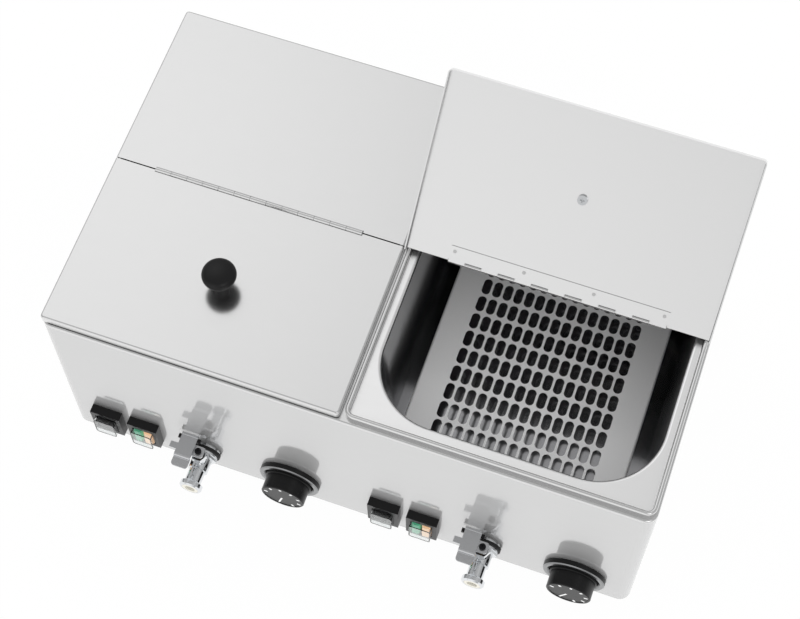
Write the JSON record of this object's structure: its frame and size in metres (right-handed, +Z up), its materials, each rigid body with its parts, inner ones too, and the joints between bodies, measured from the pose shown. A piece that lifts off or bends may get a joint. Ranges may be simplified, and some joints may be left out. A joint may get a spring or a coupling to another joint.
{
  "type": "sausage warmer",
  "caption": "Countertop stainless sausage warmer: water tanks side by side with hinged folding lids, sieve floors, drain taps, thermostat dials and covered switches.",
  "frame": {"origin": "on the table, under the middle of the whole warmer's bounding box", "axes": "+X to the warmer's right seen from its front, +Y to its back, +Z up"},
  "size_m": [0.56, 0.402, 0.377],
  "materials": {
    "stainless_sheet": "satin",
    "polished_steel": "polished",
    "galvanised_sheet": "satin",
    "lever_steel": "satin",
    "screw_steel": "satin",
    "thermostat_metal": "satin",
    "chrome": "polished",
    "brass": "satin",
    "aluminium": "matte",
    "rubber": "matte",
    "black_plastic": "satin",
    "pale_plastic": "matte",
    "clear_plastic": "clear gloss",
    "green_plastic": "gloss",
    "orange_plastic": "gloss"
  },
  "bodies": {
    "base": {"housing_shell": "stainless_sheet", "top_deck": "stainless_sheet", "base_plate": "galvanised_sheet", "left_tank": "polished_steel", "right_tank": "polished_steel", "feet": "rubber", "foot_screws": "screw_steel", "switch_frames": "black_plastic", "switch_covers": "clear_plastic", "switch_bodies": "black_plastic", "lamp_frames": "black_plastic", "lamp_covers": "clear_plastic", "lamp_holders": "black_plastic", "green_lenses": "green_plastic", "orange_lenses": "orange_plastic", "knob_bezels": "black_plastic", "thermostats": "thermostat_metal", "left_tap_body": "chrome", "right_tap_body": "chrome", "outlet_sleeves": "pale_plastic", "tap_seals": "rubber", "tap_locknuts": "brass", "drain_elbows": "polished_steel", "heaters": "aluminium", "terminal_block": "pale_plastic", "cable_gland": "black_plastic"},
    "left_lid_rear_half": {"left_rear_lid": "stainless_sheet", "left_rear_leaf": "stainless_sheet", "left_hinge_pin": "screw_steel"},
    "left_lid_front_half": {"left_front_lid": "stainless_sheet", "left_front_leaf": "stainless_sheet", "left_lid_knob": "black_plastic", "left_knob_screw": "screw_steel"},
    "left_sieve_floor": {"left_sieve": "stainless_sheet"},
    "left_switch_rocker": {"left_rocker": "black_plastic"},
    "left_thermostat_dial": {"left_dial": "black_plastic", "left_dial_shaft": "screw_steel"},
    "left_tap_handle": {"left_tap_stem": "brass", "left_tap_lever": "lever_steel", "left_lever_pad": "black_plastic", "left_lever_screw": "screw_steel"},
    "right_lid_rear_half": {"right_rear_lid": "stainless_sheet", "right_rear_leaf": "stainless_sheet", "right_hinge_pin": "screw_steel"},
    "right_lid_front_half": {"right_front_lid": "stainless_sheet", "right_front_leaf": "stainless_sheet", "right_lid_knob": "black_plastic", "right_knob_screw": "screw_steel"},
    "right_sieve_floor": {"right_sieve": "stainless_sheet"},
    "right_switch_rocker": {"right_rocker": "black_plastic"},
    "right_thermostat_dial": {"right_dial": "black_plastic", "right_dial_shaft": "screw_steel"},
    "right_tap_handle": {"right_tap_stem": "brass", "right_tap_lever": "lever_steel", "right_lever_pad": "black_plastic", "right_lever_screw": "screw_steel"}
  },
  "joints": [
    {"name": "left_lid_lift", "type": "slide", "parent": "base", "child": "left_lid_rear_half", "axis": [0, 0, 1], "range_m": [0, 0.15]},
    {"name": "left_lid_hinge", "type": "hinge", "parent": "left_lid_rear_half", "child": "left_lid_front_half", "pos_m": [-0.14, 0.014, 0.24705], "axis": [-1, 0, 0], "range_deg": [0, 133]},
    {"name": "left_sieve_lift", "type": "slide", "parent": "base", "child": "left_sieve_floor", "axis": [0, 0, 1], "range_m": [0, 0.1]},
    {"name": "left_switch_rock", "type": "hinge", "parent": "base", "child": "left_switch_rocker", "pos_m": [-0.239, -0.1616, 0.054], "axis": [-1, 0, 0], "range_deg": [0, 16]},
    {"name": "left_thermostat_turn", "type": "hinge", "parent": "base", "child": "left_thermostat_dial", "pos_m": [-0.054, -0.159, 0.054], "axis": [0, 1, 0], "range_deg": [0, 270]},
    {"name": "left_tap_turn", "type": "hinge", "parent": "base", "child": "left_tap_handle", "pos_m": [-0.14, -0.173, 0.052], "axis": [0, 0, 1], "range_deg": [0, 90]},
    {"name": "right_lid_lift", "type": "slide", "parent": "base", "child": "right_lid_rear_half", "axis": [0, 0, 1], "range_m": [0, 0.15]},
    {"name": "right_lid_hinge", "type": "hinge", "parent": "right_lid_rear_half", "child": "right_lid_front_half", "pos_m": [0.14, 0.014, 0.24705], "axis": [-1, 0, 0], "range_deg": [-133, 0]},
    {"name": "right_sieve_lift", "type": "slide", "parent": "base", "child": "right_sieve_floor", "axis": [0, 0, 1], "range_m": [0, 0.1]},
    {"name": "right_switch_rock", "type": "hinge", "parent": "base", "child": "right_switch_rocker", "pos_m": [0.041, -0.1616, 0.054], "axis": [-1, 0, 0], "range_deg": [0, 16]},
    {"name": "right_thermostat_turn", "type": "hinge", "parent": "base", "child": "right_thermostat_dial", "pos_m": [0.226, -0.159, 0.054], "axis": [0, 1, 0], "range_deg": [0, 270]},
    {"name": "right_tap_turn", "type": "hinge", "parent": "base", "child": "right_tap_handle", "pos_m": [0.14, -0.173, 0.052], "axis": [0, 0, 1], "range_deg": [0, 90]}
  ]
}
